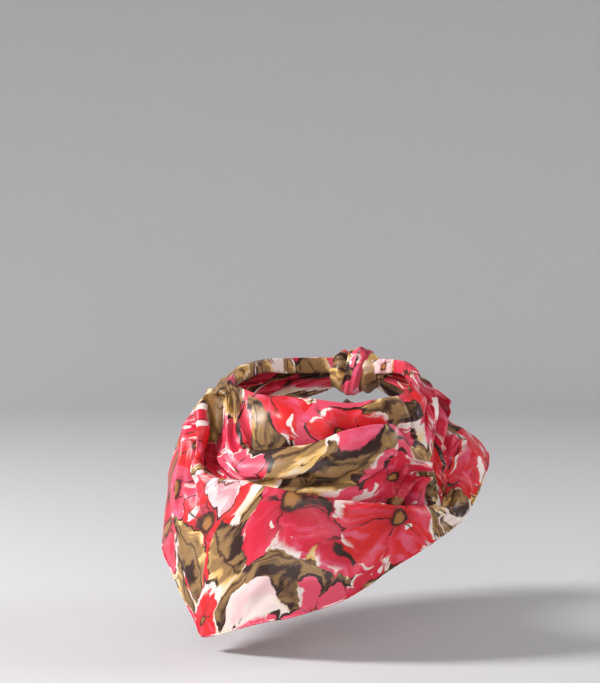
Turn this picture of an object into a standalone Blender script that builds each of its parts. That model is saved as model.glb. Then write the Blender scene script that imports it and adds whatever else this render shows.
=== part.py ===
"""Silk square scarf, folded on its diagonal, worn round the neck and knotted at the nape.

The cloth is one lofted surface. Its main fold lines run along the scarf, from the knot round the
wearer's right side, across the front and back to the knot. Each line is a short table of places
in millimetres and degrees. A section joins the lines from the neckline down to the hem, and each
sub-part is the patch of cloth between two stations and two lines.
Units are metres, +Z is up and the wearer faces -Y. The origin is the middle of the neck.
Angles are measured from the front, positive towards the wearer's left (+X).
"""
import math

import bpy
import numpy as np

MM = 0.001

# Cloth
WALL = 1.0 * MM             # thickness of every cloth wall
SEAM_GAP = 0.6 * MM         # between middle surfaces, so the tilted walls on both sides stay apart
CREST_ROUND = 3.4 * MM      # radius of the large crests and valleys
UNDER_LAYER_GAP = 2.6 * MM  # from the bib's middle surface to the layer below it
UNDER_LAYER_STATIONS = (3, 10)
UNDER_LAYER_SHORT = 3.0 * MM    # how much higher its edge ends
UNDER_LAYER_SHOWS = 9.0 * MM    # how much lower it comes beside the point, above that edge

# Knot
KNOT_CENTRE = (0.0, 82.5 * MM, 46.0 * MM)
KNOT_HALF_LENGTH = 19.0 * MM
KNOT_END_RADII = (12.0 * MM, 18.5 * MM)     # depth and height at the open ends
KNOT_SWELL = 4.5 * MM
KNOT_WRAP_HEIGHT = 1.3 * MM
KNOT_RECESS = 5.0 * MM                      # depth of the hollow that takes a band's end
KNOT_SIDES = 28
KNOT_RINGS = 13

# Columns of the fold line tables: station, angle (degrees), radius (mm), height (mm).
# Stations count along the scarf: 0 is the knot end on the wearer's right, 4 the right side of
# the neck, 5.5 the bib's point, 7 the middle of the front, 11 the pinch below the left ear and
# 14 the knot end on the wearer's left.
NECKLINE = [
    (0, -168, 79, 57.5), (2, -105, 72, 58), (3, -76, 75, 53), (4, -53, 78, 46), (5, -30, 73, 41),
    (6, -8, 70, 40), (7, 14, 71, 39), (8, 34, 73, 36), (9, 50, 74, 37), (10, 64, 75, 38),
    (11, 80, 76, 41), (12, 100, 73, 51), (13, 132, 72, 60), (14, 168, 79, 57.5),
]
ROLL = [
    (0, -168, 83, 57), (2, -104, 80, 55), (3, -75, 80, 50.5), (4, -52, 80, 45.6), (5, -30, 80, 31),
    (6, -9, 86, 25), (7, 13, 87, 22), (8, 32, 87, 24), (9, 48, 86, 29), (10, 62, 89, 30),
    (10.7, 72, 93, 27), (11.3, 82, 90, 30), (12, 97, 81, 46), (13, 131, 79, 57), (14, 168, 83, 57),
]
ROLL_VALLEY = [
    (0, -168, 81, 53.5), (2, -104, 80, 48), (3, -74, 82.5, 47), (4, -52, 81.5, 45), (4.6, -40, 83.5, 33),
    (5.2, -25, 94, 10), (5.6, -18, 92, -2), (6, -10, 90, -9), (7, 13, 88, -9), (8, 31, 87, -5),
    (9, 46, 86, -2), (9.8, 56, 89, -6), (10.4, 66, 97, 4), (11, 76, 97, 1), (12, 96, 80, 38),
    (13, 130, 76, 51), (14, 168, 81, 53.5),
]
COWL_CREST = [
    (0, -168, 85, 51.5), (2, -103, 88, 43), (3, -73, 85, 44), (4, -50, 83.5, 43.8), (4.6, -38, 88, 28),
    (5.2, -24, 100, 3), (5.6, -17, 101, 0), (6, -9, 102, 1), (7, 15, 102, 8), (8, 30, 102, 17),
    (9, 46, 102, 21), (9.5, 53, 102, 19), (9.9, 58, 102, 6), (10.4, 68, 101, -6),
    (11, 77, 100, -8), (12, 95, 93, 30), (13, 129, 86, 46), (14, 168, 85, 51.5),
]
# Two more columns: how far the cloth tucks in below the lip, and how far the strip below stands out.
COWL_LIP = [
    (0, -168, 86, 48, 0, 0), (2, -103, 92, 37, 3, 3), (3, -72, 87, 41, 0, 0),
    (4, -47, 88, 40.5, 0, 0), (4.4, -41, 91, 35, 0, 0), (4.7, -36, 96, 20, 0, 0),
    (5, -30, 102, 6, 0, 0), (5.3, -24, 108, -7, 2, 0), (5.6, -18, 113, -17, 4, 0),
    (6, -8, 116, -19, 8, 0), (7, 12, 116, -14, 12, 2), (8, 32, 113, -12, 5, 1),
    (9, 50, 110, -9, 2, 0), (10, 66, 105, -12, 1, 0), (11, 77, 101, -18, 0, 0),
    (12, 95, 93, 19, 3, 3), (13, 129, 89, 39, 3, 3), (14, 168, 86, 48, 0, 0),
]
BIB_VALLEY = [
    (0, -168, 81, 43.5), (2, -105, 90, 25), (3, -80, 87, 28), (4, -62, 85, 28), (4.5, -62, 88, 20),
    (5, -57, 93, -2), (5.4, -40, 103, -18), (6, -12, 105, -40), (7, 12, 106, -49),
    (8, 31, 106, -55), (9, 47, 106, -60), (10, 61, 108, -62), (10.5, 70, 109, -60),
    (11, 78, 111, -51), (11.5, 84, 110, -26), (12, 93, 105, -3), (13, 128, 92, 24),
    (14, 168, 81, 43.5),
]
BIB_CREST = [
    (0, -168, 86, 41), (2, -107, 104, 33), (3, -80, 97, 37), (4, -58, 94, 39),
    (4.4, -53, 104, 34), (4.7, -46, 112, 18), (5, -41, 118, 0), (5.3, -38, 121, -15),
    (5.6, -30, 122, -21), (6, -12, 122, -22), (7, 14, 121, -31), (8, 31, 120, -36),
    (9, 46, 122, -40), (10, 61, 123, -44), (10.5, 70, 124, -46), (11, 78, 124, -45),
    (11.5, 87, 121, -25), (12, 95, 119, -3), (13, 128, 104, 14), (14, 168, 86, 41),
]
BELLY = [
    (0, -168, 87, 38), (2, -107, 124, 0), (3, -82, 123, -10), (4, -62, 124, -12),
    (4.5, -56, 127, -22), (5, -50, 131, -42), (5.5, -38, 131, -62), (6, -17, 129, -70),
    (7, 12, 128, -72), (8, 30, 128, -69), (9, 45, 128, -62), (10, 61, 128, -55),
    (11, 79, 128, -50), (11.5, 88, 128, -32), (12, 96, 128, -10), (13, 129, 112, 4),
    (14, 168, 87, 38),
]
HEM = [
    (0, -168, 86, 33), (1, -138, 116, 8), (2, -107, 131, -38), (3, -83, 134, -72),
    (4, -60, 134, -95), (4.5, -50, 133, -104), (5, -41, 132, -120), (5.3, -33, 131, -136),
    (5.5, -29, 130, -149), (5.65, -24, 130, -147), (6, -10, 128, -136), (7, 8, 127, -125),
    (8, 26, 127, -111), (9, 44, 129, -88), (10, 62, 130, -70), (10.5, 71, 131, -62),
    (11, 80, 130, -57), (11.5, 88, 134, -39), (12, 97, 137, -20), (13, 130, 124, -6),
    (14, 168, 86, 33),
]

# Section lines in order, with the grid rows from each line to the next one
NECK, ROLL_TOP, VALLEY, CREST, FACE, LIP, TUCK, STRIP, POCKET, RIM, CHEST, SKIRT, EDGE = range(13)
ROWS_AFTER_LINE = [2, 3, 4, 2, 2, 2, 2, 3, 4, 3, 3, 3]
UNDER_LAYER_TOP = CHEST + 0.5
FOLDED_LINES = (VALLEY, CREST, LIP, POCKET, RIM)


def spline(knots, values, at):
    """Cubic Hermite curve through the values, with the slopes of the chords on both sides."""
    knots = np.asarray(knots, float)
    values = np.asarray(values, float)
    chord = np.diff(values, axis=0) / np.diff(knots)[:, None]
    before = np.vstack([chord[:1], chord])
    after = np.vstack([chord, chord[-1:]])
    span_before = np.concatenate([[1.0], np.diff(knots)])[:, None]
    span_after = np.concatenate([np.diff(knots), [1.0]])[:, None]
    slope = (before * span_after + after * span_before) / (span_before + span_after)
    i = np.clip(np.searchsorted(knots, at, side="right") - 1, 0, len(knots) - 2)
    width = (knots[i + 1] - knots[i])[:, None]
    t = ((at - knots[i]) / (knots[i + 1] - knots[i]))[:, None]
    return ((2 * t**3 - 3 * t**2 + 1) * values[i] + (t**3 - 2 * t**2 + t) * width * slope[i]
            + (3 * t**2 - 2 * t**3) * values[i + 1] + (t**3 - t**2) * width * slope[i + 1])


def outward(points):
    """Unit vectors that point away from the neck's axis."""
    flat = points * np.array([1.0, 1.0, 0.0])
    return flat / np.linalg.norm(flat, axis=-1, keepdims=True)


def distance(a, b):
    return np.linalg.norm(a - b, axis=-1, keepdims=True)


def fold_line(table, stations):
    """Places along one fold line, in metres, one row for each station asked for."""
    rows = spline([row[0] for row in table], [row[1:] for row in table], stations)
    angle, radius, height = np.radians(rows[:, 0]), rows[:, 1] * MM, rows[:, 2] * MM
    points = np.stack([radius * np.sin(angle), -radius * np.cos(angle), height], axis=-1)
    return points, rows[:, 3:] * MM


def soft_end(t):
    """Rises smoothly from 0 to 1 over the first eighth of the way and falls over the last."""
    near = np.clip(np.minimum(t, 1 - t) * 8, 0, 1)
    return near * near * (3 - 2 * near)


def section_controls(stations):
    """The thirteen section lines and, beside each folded one, a point on both sides that rounds it."""
    lines = {}
    for line, table in ((NECK, NECKLINE), (ROLL_TOP, ROLL), (VALLEY, ROLL_VALLEY),
                        (CREST, COWL_CREST), (POCKET, BIB_VALLEY), (RIM, BIB_CREST),
                        (CHEST, BELLY), (EDGE, HEM)):
        lines[line], _ = fold_line(table, stations)
    lines[LIP], folds = fold_line(COWL_LIP, stations)
    tuck, strip = folds[:, :1], folds[:, 1:]
    lines[FACE] = (lines[CREST] + lines[LIP]) / 2
    lines[FACE] += outward(lines[FACE]) * 0.16 * distance(lines[CREST], lines[LIP])
    lines[TUCK] = 0.82 * lines[LIP] + 0.18 * lines[POCKET]
    lines[TUCK] -= outward(lines[TUCK]) * tuck
    lines[STRIP] = 0.62 * lines[LIP] + 0.38 * lines[POCKET]
    lines[STRIP] += outward(lines[STRIP]) * strip
    lines[SKIRT] = (lines[CHEST] + lines[EDGE]) / 2
    lines[SKIRT] += outward(lines[SKIRT]) * 0.03 * distance(lines[CHEST], lines[EDGE])

    controls, places = [], []
    for line in range(NECK, EDGE + 1):
        if line not in FOLDED_LINES:
            places.append(len(controls))
            controls.append(lines[line])
            continue
        back = lines[line - 1] - lines[line]
        front = lines[line + 1] - lines[line]
        reach_back = distance(lines[line - 1], lines[line])
        reach_front = distance(lines[line + 1], lines[line])
        back, front = back / reach_back, front / reach_front
        across = front - back
        across /= np.linalg.norm(across, axis=-1, keepdims=True)
        size = np.minimum(CREST_ROUND, 0.3 * np.minimum(reach_back, reach_front))
        controls.append(lines[line] + size * (0.5 * (back + front) - across))
        places.append(len(controls))
        controls.append(lines[line])
        controls.append(lines[line] + size * (0.5 * (back + front) + across))
    return np.stack(controls, axis=1), places


def sheet_rows(places):
    """Row places along a section, counted in control points."""
    rows = [0.0]
    for line, count in enumerate(ROWS_AFTER_LINE):
        span = places[line + 1] - places[line]
        rows += [places[line] + span * (k + 1) / count for k in range(count)]
    return np.array(rows)


def base_sheet(stations):
    """Grid of places on the cloth, stations by rows, before the small pleats."""
    controls, places = section_controls(stations)
    rows = sheet_rows(places)
    grid = []
    for section in controls:
        step = np.sqrt(np.linalg.norm(np.diff(section, axis=0), axis=-1)) + 1e-6
        knots = np.concatenate([[0.0], np.cumsum(step)])
        grid.append(spline(knots, section, np.interp(rows, np.arange(len(knots)), knots)))
    return np.array(grid)


def grid_normals(grid):
    """Unit normals of a grid, pointing out of the cloth's right side."""
    normals = np.cross(np.gradient(grid, axis=1), np.gradient(grid, axis=0))
    return normals / np.linalg.norm(normals, axis=-1, keepdims=True)


def arc_lengths(grid, axis):
    """Distance along one direction of a grid, from its first row or column."""
    steps = np.linalg.norm(np.diff(grid, axis=axis), axis=-1)
    start = np.zeros_like(np.take(steps, [0], axis=axis))
    return np.concatenate([start, np.cumsum(steps, axis=axis)], axis=axis)


# Columns: first line, last line, station at the first, station at the last, height at the first,
# height at the last, half width (mm). These run down the cloth, from the pinch and the neck.
FAN_PLEATS = [
    (NECK, VALLEY, 11.40, 11.30, -1.5, -2.5, 4.5),
    (LIP, POCKET, 10.30, 9.15, 1.5, 3.5, 5.0),
    (LIP, POCKET, 10.55, 9.65, 1.5, 3.5, 4.5),
    (LIP, POCKET, 10.80, 10.15, 1.5, 3.5, 4.5),
    (LIP, POCKET, 11.00, 10.65, 1.5, 3.5, 4.5),
    (LIP, RIM, 11.20, 11.10, 1.5, 3.0, 4.5),
    (LIP, SKIRT, 11.40, 11.45, 1.5, 3.5, 5.0),
    (LIP, SKIRT, 11.70, 11.80, 1.5, 3.0, 5.0),
    (POCKET, SKIRT, 12.35, 12.60, 2.0, 4.0, 7.0),
    (POCKET, SKIRT, 2.80, 2.40, 1.0, 4.0, 8.0),
    (RIM, SKIRT, 4.30, 3.80, 2.5, 3.5, 7.0),
    (RIM, SKIRT, 2.10, 1.60, 1.0, 4.0, 8.0),
]
# Columns: first station, last station, line at the first, line at the last, height at the first,
# height at the last, half width (mm). These run along the scarf.
LONG_CREASES = [
    (3.6, 5.3, RIM + 0.45, RIM + 0.62, 3.5, 2.0, 6.0),
    (4.9, 6.6, RIM + 0.02, RIM + 0.75, 3.0, 1.0, 7.0),
    (6.2, 9.6, ROLL_TOP + 0.20, ROLL_TOP + 0.55, 2.0, 3.0, 5.0),
    (6.6, 10.2, FACE + 0.05, FACE + 0.35, 1.5, 2.5, 5.0),
    (7.6, 10.6, RIM + 0.55, RIM + 0.75, 1.5, 2.5, 9.0),
]


def cloth_sheet(stations):
    """Grid of places on the cloth with its pleats raised along the normals."""
    grid = base_sheet(stations)
    _, places = section_controls(stations[:1])
    lines = np.interp(sheet_rows(places), places, range(len(places)))
    along, down = arc_lengths(grid, 0), arc_lengths(grid, 1)
    lift = np.zeros(grid.shape[:2])
    for first, last, start, end, low, high, half in FAN_PLEATS:
        for row in np.nonzero((lines > first) & (lines < last))[0]:
            t = (lines[row] - first) / (last - first)
            centre = np.interp(start + (end - start) * t, stations, along[:, row])
            height = (low + (high - low) * t) * soft_end(t)
            lift[:, row] += height * MM * np.exp(-((along[:, row] - centre) / (half * MM)) ** 2)
    for first, last, start, end, low, high, half in LONG_CREASES:
        for column in np.nonzero((stations > first) & (stations < last))[0]:
            t = (stations[column] - first) / (last - first)
            centre = np.interp(start + (end - start) * t, lines, down[column])
            height = (low + (high - low) * t) * soft_end(t)
            lift[column] += height * MM * np.exp(-((down[column] - centre) / (half * MM)) ** 2)
    return grid + grid_normals(grid) * lift[..., None]


def trimmed(grid):
    """The grid with each border moved in by half of the seam gap, square to the border."""
    grid = grid.copy()
    for axis in (0, 1):
        side = np.moveaxis(grid, axis, 0)
        for edge, inner in ((0, 1), (-1, -2)):
            border = np.gradient(side[edge], axis=0)
            border /= np.linalg.norm(border, axis=-1, keepdims=True)
            inward = side[inner] - side[edge]
            inward -= np.sum(inward * border, axis=-1, keepdims=True) * border
            side[edge] += inward / np.linalg.norm(inward, axis=-1, keepdims=True) * SEAM_GAP / 2
    return grid


def shifted_edge(layer, stations):
    """The layer with its lower edge drawn up, and let down where it shows beside the point."""
    down = layer[:, -1] - layer[:, -2]
    down /= np.linalg.norm(down, axis=-1, keepdims=True)
    beside_point = np.exp(-((stations - 4.85) / 0.45) ** 2)
    shift = UNDER_LAYER_SHOWS * beside_point - UNDER_LAYER_SHORT
    share = np.linspace(0, 1, layer.shape[1]) ** 2
    return layer + down[:, None] * (shift[:, None] * share)[..., None]


def link_piece(collection, name, grid, faces, colour):
    """A named object from a grid of places and the faces between them."""
    mesh = bpy.data.meshes.new(name)
    mesh.from_pydata(grid.reshape(-1, 3).tolist(), [], faces)
    mesh.shade_smooth()
    mesh.materials.append(silk(name, colour))
    piece = bpy.data.objects.new(name, mesh)
    collection.objects.link(piece)
    return piece


def add_wall(collection, name, grid, colour):
    """A cloth wall: a lofted sheet of quads with an even thickness."""
    columns, rows = grid.shape[:2]
    faces = [(i * rows + j, i * rows + j + 1, (i + 1) * rows + j + 1, (i + 1) * rows + j)
             for i in range(columns - 1) for j in range(rows - 1)]
    piece = link_piece(collection, name, grid, faces, colour)
    wall = piece.modifiers.new("wall", "SOLIDIFY")
    wall.thickness = WALL
    wall.offset = 0.0
    return piece


def silk(name, colour):
    """Printed silk: soft sheen, no metal."""
    material = bpy.data.materials.new(name + "_silk")
    material.use_nodes = True
    shader = material.node_tree.nodes["Principled BSDF"]
    shader.inputs["Base Color"].default_value = (*colour, 1.0)
    shader.inputs["Roughness"].default_value = 0.42
    shader.inputs["Metallic"].default_value = 0.0
    return material


def knot_rings():
    """Rings round a tight knot, from one end's recess over the slanting wraps to the other's."""
    turns = np.linspace(0, 2 * math.pi, KNOT_SIDES, endpoint=False)
    rings = [(-KNOT_HALF_LENGTH + KNOT_RECESS, -1.0, 0.0), (-KNOT_HALF_LENGTH, -1.0, 0.0)]
    rings += [(run * KNOT_HALF_LENGTH, run, WALL) for run in np.linspace(-1, 1, KNOT_RINGS)]
    rings += [(KNOT_HALF_LENGTH, 1.0, 0.0), (KNOT_HALF_LENGTH - KNOT_RECESS, 1.0, 0.0)]
    points = []
    for x, run, outward_shift in rings:
        wraps = KNOT_WRAP_HEIGHT * np.cos(2.5 * math.pi * (run + 0.22 * np.sin(turns + 0.6)))
        swell = KNOT_SWELL * (1 - run**2) + wraps + outward_shift - WALL / 2
        y = (KNOT_END_RADII[0] + swell) * np.sin(turns)
        z = (KNOT_END_RADII[1] + swell) * np.cos(turns)
        points.append(np.stack([x + 0 * turns, y, z], axis=-1) + np.array(KNOT_CENTRE))
    return np.stack(points, axis=1)


def add_knot(collection, name, colour):
    """The knot: tightly packed cloth, so one closed solid with a recess for each band's end."""
    rings = knot_rings()
    turns, count = rings.shape[:2]
    faces = [(i * count + j, i * count + j + 1, (i + 1) % turns * count + j + 1,
              (i + 1) % turns * count + j) for i in range(turns) for j in range(count - 1)]
    faces.append([i * count for i in range(turns)])
    faces.append([i * count + count - 1 for i in reversed(range(turns))])
    return link_piece(collection, name, rings, faces, colour)


# Columns: share of the tail's length, X, Y, Z of the middle (mm), half width, ripple height (mm)
TAIL_LEFT = [
    (0.0, 21, 96, 33, 6, 1.5), (0.3, 40, 106, 27, 10, 2.5), (0.65, 64, 101, 20, 12, 2.0),
    (1.0, 83, 88, 14, 9, 1.0),
]
TAIL_RIGHT = [
    (0.0, -6, 92, 18, 6, 1.5), (0.3, -15, 103, 2, 12, 2.5), (0.65, -31, 112, -20, 15, 2.5),
    (1.0, -46, 116, -42, 5, 0.5),
]


def tail_wall(table, width_direction, columns=14, rows=9):
    """A loose corner of the square, gathered at the knot and rippled across its width."""
    share = np.linspace(0, 1, columns)
    values = spline([row[0] for row in table], [row[1:] for row in table], share) * MM
    middle, half, ripple = values[:, None, :3], values[:, None, 3:4], values[:, None, 4:5]
    across = np.linspace(-1, 1, rows)[None, :, None]
    flat = middle + np.array(width_direction) * half * across
    return flat + outward(middle) * ripple * np.sin(1.5 * math.pi * across)


# Columns: name, first and last station, first and last line (a half is the middle of a rising
# wall), colour
STRETCHES = [
    ("neck_roll", 3, 12, NECK, VALLEY + 0.5, (0.62, 0.03, 0.06)),
    ("cowl_fold", 3, 12, VALLEY + 0.5, POCKET + 0.5, (0.75, 0.16, 0.22)),
    ("bib", 3, 11, POCKET + 0.5, EDGE, (0.80, 0.55, 0.45)),
    ("right_shoulder_drape", 0, 3, POCKET + 0.5, EDGE, (0.55, 0.10, 0.10)),
    ("left_shoulder_drape", 11, 14, POCKET + 0.5, EDGE, (0.45, 0.25, 0.12)),
    ("right_nape_band", 0, 3, NECK, POCKET + 0.5, (0.30, 0.16, 0.10)),
    ("left_nape_band", 12, 14, NECK, POCKET + 0.5, (0.30, 0.16, 0.10)),
]
STEPS_IN_INTERVAL = [4, 5, 6, 7, 8, 8, 7, 6, 6, 7, 9, 10, 6, 5]


def main():
    for old in list(bpy.data.objects):
        bpy.data.objects.remove(old)
    collection = bpy.data.collections.new("silk_square_scarf")
    bpy.context.scene.collection.children.link(collection)

    stations = [0.0]
    for first, steps in enumerate(STEPS_IN_INTERVAL):
        stations += [first + (k + 1) / steps for k in range(steps)]
    stations = np.array(stations)
    sheet = cloth_sheet(stations)
    _, places = section_controls(stations[:1])
    lines = np.interp(sheet_rows(places), places, range(len(places)))

    for name, start, end, top, bottom, colour in STRETCHES:
        i, j = np.searchsorted(stations, [start - 1e-6, end + 1e-6])
        k, m = np.argmin(abs(lines - top)), np.argmin(abs(lines - bottom))
        add_wall(collection, name, trimmed(sheet[i:j, k:m + 1]), colour)

    i, j = np.searchsorted(stations, np.array(UNDER_LAYER_STATIONS) + (-1e-6, 1e-6))
    k = np.argmin(abs(lines - UNDER_LAYER_TOP))
    layer = sheet[i:j, k:] - grid_normals(sheet)[i:j, k:] * UNDER_LAYER_GAP
    add_wall(collection, "bib_under_layer", shifted_edge(layer, stations[i:j]), (0.85, 0.75, 0.65))
    add_knot(collection, "knot", (0.50, 0.12, 0.12))
    add_wall(collection, "left_tail", tail_wall(TAIL_LEFT, (0.1, 0.0, 0.99)), (0.70, 0.05, 0.10))
    add_wall(collection, "right_tail", tail_wall(TAIL_RIGHT, (0.90, 0.0, -0.43)), (0.70, 0.05, 0.10))


main()
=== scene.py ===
"""Silk square scarf as it is worn: folded on its diagonal, a cowl over a bib, knotted behind.

Units are metres, +Z is up and the wearer faces -Y. The origin is the middle of the neck. Angles are
measured from the front, positive towards the wearer's left (+X).
"""
import math

import bpy
import numpy as np
from mathutils import Matrix


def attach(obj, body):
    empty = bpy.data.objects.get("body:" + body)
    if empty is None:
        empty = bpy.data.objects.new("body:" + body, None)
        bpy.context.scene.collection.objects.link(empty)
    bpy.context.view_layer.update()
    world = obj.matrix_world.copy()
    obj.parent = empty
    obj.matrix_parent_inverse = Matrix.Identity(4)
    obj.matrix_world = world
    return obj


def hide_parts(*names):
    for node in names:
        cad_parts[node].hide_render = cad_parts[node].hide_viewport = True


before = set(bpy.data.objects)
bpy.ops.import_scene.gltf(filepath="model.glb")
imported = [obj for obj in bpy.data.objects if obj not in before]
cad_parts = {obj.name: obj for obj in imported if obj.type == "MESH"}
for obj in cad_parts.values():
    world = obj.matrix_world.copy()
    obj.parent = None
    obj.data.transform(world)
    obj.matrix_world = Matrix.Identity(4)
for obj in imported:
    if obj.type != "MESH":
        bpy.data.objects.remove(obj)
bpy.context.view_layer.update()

# ----------------------------------------------------------------------
# The draped square
# A 70 cm square of printed silk twill, folded on its diagonal. The long fold is rolled round the
# neck, the cloth below it falls over itself as a cowl, and the corner hangs in front as a bib.
# ----------------------------------------------------------------------
MM = 0.001
SILK_THICKNESS = 0.35 * MM      # two layers of twill
CREST_ROUND = 3.4 * MM          # how far a rounded crest or valley reaches to each side
LONGEST_ROUND = 0.3             # the same at most, as a share of the way to the next line
FACE_BULGE, SKIRT_BULGE = 0.16, 0.03    # of the cowl's face and the skirt, as shares of their depth
TUCK_SHARE, STRIP_SHARE = 0.18, 0.38    # where these lines lie on the way from lip to pocket

# Fold lines along the scarf. Columns: station, angle (degrees), radius (mm), height (mm).
# Station 0 is the knot end on the wearer's right, 4 the right side of the neck, 5.5 the bib's
# point, 7 the middle of the front, 11 the pinch below the left ear and 14 the knot end again.
NECKLINE = [
    (0, -168, 79, 57.5), (2, -105, 72, 58), (3, -76, 75, 53), (4, -53, 78, 46), (5, -30, 73, 41),
    (6, -8, 70, 40), (7, 14, 71, 39), (8, 34, 73, 36), (9, 50, 74, 37), (10, 64, 75, 38),
    (11, 80, 76, 41), (12, 100, 73, 51), (13, 132, 72, 60), (14, 168, 79, 57.5),
]
ROLL = [
    (0, -168, 83, 57), (2, -104, 80, 55), (3, -75, 80, 50.5), (4, -52, 80, 45.6), (5, -30, 80, 31),
    (6, -9, 86, 25), (7, 13, 87, 22), (8, 32, 87, 24), (9, 48, 86, 29), (10, 62, 89, 30),
    (10.7, 72, 93, 27), (11.3, 82, 90, 30), (12, 97, 81, 46), (13, 131, 79, 57), (14, 168, 83, 57),
]
ROLL_VALLEY = [
    (0, -168, 81, 53.5), (2, -104, 80, 48), (3, -74, 82.5, 47), (4, -52, 81.5, 45),
    (4.6, -40, 83.5, 33), (5.2, -25, 94, 10), (5.6, -18, 92, -2), (6, -10, 90, -9), (7, 13, 88, -9),
    (8, 31, 87, -5), (9, 46, 86, -2), (9.8, 56, 89, -6), (10.4, 66, 97, 4), (11, 76, 97, 1),
    (12, 96, 80, 38), (13, 130, 76, 51), (14, 168, 81, 53.5),
]
COWL_CREST = [
    (0, -168, 85, 51.5), (2, -103, 88, 43), (3, -73, 85, 44), (4, -50, 83.5, 43.8),
    (4.6, -38, 88, 28), (5.2, -24, 100, 3), (5.6, -17, 101, 0), (6, -9, 102, 1), (7, 15, 102, 8),
    (8, 30, 102, 17), (9, 46, 102, 21), (9.5, 53, 102, 19), (9.9, 58, 102, 6), (10.4, 68, 101, -6),
    (11, 77, 100, -8), (12, 95, 93, 30), (13, 129, 86, 46), (14, 168, 85, 51.5),
]
# Two more columns: how far the cloth tucks in below the lip, and how far the strip stands out.
COWL_LIP = [
    (0, -168, 86, 48, 0, 0), (2, -103, 92, 37, 3, 3), (3, -72, 87, 41, 0, 0),
    (4, -47, 88, 40.5, 0, 0), (4.4, -41, 91, 35, 0, 0), (4.7, -36, 96, 20, 0, 0),
    (5, -30, 102, 6, 0, 0), (5.3, -24, 108, -7, 2, 0), (5.6, -18, 113, -17, 4, 0),
    (6, -8, 116, -19, 8, 0), (7, 12, 116, -14, 12, 2), (8, 32, 113, -12, 5, 1),
    (9, 50, 110, -9, 2, 0), (10, 66, 105, -12, 1, 0), (11, 77, 101, -18, 0, 0),
    (12, 95, 93, 19, 3, 3), (13, 129, 89, 39, 3, 3), (14, 168, 86, 48, 0, 0),
]
BIB_VALLEY = [
    (0, -168, 81, 43.5), (2, -105, 90, 25), (3, -80, 87, 28), (4, -62, 85, 28), (4.5, -62, 88, 20),
    (5, -57, 93, -2), (5.4, -40, 103, -18), (6, -12, 105, -40), (7, 12, 106, -49),
    (8, 31, 106, -55), (9, 47, 106, -60), (10, 61, 108, -62), (10.5, 70, 109, -60),
    (11, 78, 111, -51), (11.5, 84, 110, -26), (12, 93, 105, -3), (13, 128, 92, 24),
    (14, 168, 81, 43.5),
]
BIB_CREST = [
    (0, -168, 86, 41), (2, -107, 104, 33), (3, -80, 97, 37), (4, -58, 94, 39),
    (4.4, -53, 104, 34), (4.7, -46, 112, 18), (5, -41, 118, 0), (5.3, -38, 121, -15),
    (5.6, -30, 122, -21), (6, -12, 122, -22), (7, 14, 121, -31), (8, 31, 120, -36),
    (9, 46, 122, -40), (10, 61, 123, -44), (10.5, 70, 124, -46), (11, 78, 124, -45),
    (11.5, 87, 121, -25), (12, 95, 119, -3), (13, 128, 104, 14), (14, 168, 86, 41),
]
BELLY = [
    (0, -168, 87, 38), (2, -107, 124, 0), (3, -82, 123, -10), (4, -62, 124, -12),
    (4.5, -56, 127, -22), (5, -50, 131, -42), (5.5, -38, 131, -62), (6, -17, 129, -70),
    (7, 12, 128, -72), (8, 30, 128, -69), (9, 45, 128, -62), (10, 61, 128, -55),
    (11, 79, 128, -50), (11.5, 88, 128, -32), (12, 96, 128, -10), (13, 129, 112, 4),
    (14, 168, 87, 38),
]
HEM = [
    (0, -168, 86, 33), (1, -138, 116, 8), (2, -107, 131, -38), (3, -83, 134, -72),
    (4, -60, 134, -95), (4.5, -50, 133, -104), (5, -41, 132, -120), (5.3, -33, 131, -136),
    (5.5, -29, 130, -149), (5.65, -24, 130, -147), (6, -10, 128, -136), (7, 8, 127, -125),
    (8, 26, 127, -111), (9, 44, 129, -88), (10, 62, 130, -70), (10.5, 71, 131, -62),
    (11, 80, 130, -57), (11.5, 88, 134, -39), (12, 97, 137, -20), (13, 130, 124, -6),
    (14, 168, 86, 33),
]

# Section lines from the neck down to the hem, and the grid rows from each line to the next
NECK, ROLL_TOP, VALLEY, CREST, FACE, LIP, TUCK, STRIP, POCKET, RIM, CHEST, SKIRT, EDGE = range(13)
FOLDED_LINES = (VALLEY, CREST, LIP, POCKET, RIM)
ROWS_AFTER_LINE = [10, 14, 14, 8, 9, 7, 9, 14, 20, 36, 22, 20]
COLUMNS_AFTER_STATION = [20, 25, 30, 35, 40, 40, 35, 30, 30, 35, 45, 50, 30, 25]


def cubic(t, start, leave, end, arrive):
    """Cubic curve at the share t of the way, with its two ends and its slopes there."""
    return ((2 * t**3 - 3 * t**2 + 1) * start + (t**3 - 2 * t**2 + t) * leave
            + (3 * t**2 - 2 * t**3) * end + (t**3 - t**2) * arrive)


def curve_through(knots, values, i, t):
    """Cubic curve through the values, read at the share t of piece i. The slope at a knot is the
    mean of the chords' slopes on both sides, each weighted by the length of the other."""
    span = np.diff(knots, axis=-1)[..., None]
    chord = np.diff(values, axis=-2) / span
    before = np.concatenate([chord[..., :1, :], chord], axis=-2)
    after = np.concatenate([chord, chord[..., -1:, :]], axis=-2)
    span_before = np.concatenate([span[..., :1, :], span], axis=-2)
    span_after = np.concatenate([span, span[..., -1:, :]], axis=-2)
    slope = (before * span_after + after * span_before) / (span_before + span_after)
    return cubic(t[:, None], values[..., i, :], span[..., i, :] * slope[..., i, :],
                 values[..., i + 1, :], span[..., i, :] * slope[..., i + 1, :])


def table_curve(table, at):
    """All columns of a table after its first, as smooth curves over the first."""
    knots = np.array([row[0] for row in table], float)
    values = np.array([row[1:] for row in table], float)
    i = np.clip(np.searchsorted(knots, at, side="right") - 1, 0, len(knots) - 2)
    return curve_through(knots, values, i, (at - knots[i]) / np.diff(knots)[i])


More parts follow.
